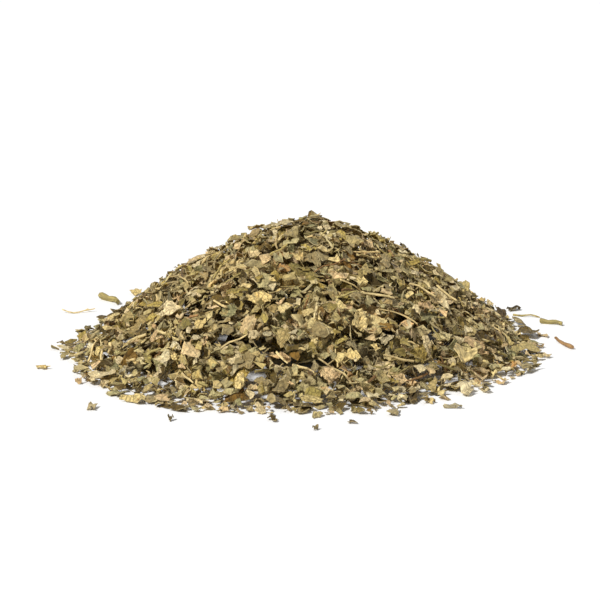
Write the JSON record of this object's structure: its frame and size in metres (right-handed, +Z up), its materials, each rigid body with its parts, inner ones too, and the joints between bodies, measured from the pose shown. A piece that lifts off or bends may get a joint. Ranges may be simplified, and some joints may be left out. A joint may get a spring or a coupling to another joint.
{
  "type": "heap of dried cut bramble leaf",
  "caption": "Low rounded heap of dried bramble leaf, cut small, with loose blade and stalk bits lying round its foot.",
  "frame": {"origin": "centre of the heap's flat underside, on the surface that it lies on", "axes": "+Z up, -Y towards the viewer's side of the heap, +X to its right"},
  "size_m": [0.1312, 0.1312, 0.0327],
  "materials": {
    "leaf_upper": "matt dry leaf, upper side, olive to khaki",
    "leaf_under": "matt dry leaf, felted underside, pale grey green",
    "stalk": "dry stalk, straw to tan"
  },
  "bodies": {
    "root": {"leaf_heap": "leaf_upper", "loose_blade_01": "leaf_upper", "loose_blade_02": "leaf_under", "loose_blade_03": "leaf_upper", "loose_blade_04": "leaf_upper", "loose_blade_05": "leaf_under", "loose_blade_06": "leaf_under", "loose_blade_07": "leaf_under", "loose_blade_08": "leaf_under", "loose_blade_09": "leaf_upper", "loose_blade_10": "leaf_under", "loose_blade_11": "leaf_under", "loose_blade_12": "leaf_under", "loose_blade_13": "leaf_under", "loose_blade_14": "leaf_upper", "loose_blade_15": "leaf_upper", "loose_blade_16": "leaf_upper", "loose_blade_17": "leaf_under", "loose_blade_18": "leaf_under", "loose_blade_19": "leaf_upper", "loose_blade_20": "leaf_under", "loose_blade_21": "leaf_under", "loose_blade_22": "leaf_upper", "loose_blade_23": "leaf_under", "loose_blade_24": "leaf_upper", "loose_blade_25": "leaf_upper", "loose_blade_26": "leaf_under", "loose_blade_27": "leaf_under", "loose_blade_28": "leaf_upper", "loose_blade_29": "leaf_upper", "loose_blade_30": "leaf_upper", "loose_blade_31": "leaf_upper", "loose_blade_32": "leaf_upper", "loose_blade_33": "leaf_upper", "loose_blade_34": "leaf_upper", "loose_stalk_01": "stalk", "loose_stalk_02": "stalk", "loose_stalk_03": "stalk", "loose_stalk_04": "stalk", "loose_stalk_05": "stalk", "loose_stalk_06": "stalk"}
  },
  "joints": []
}
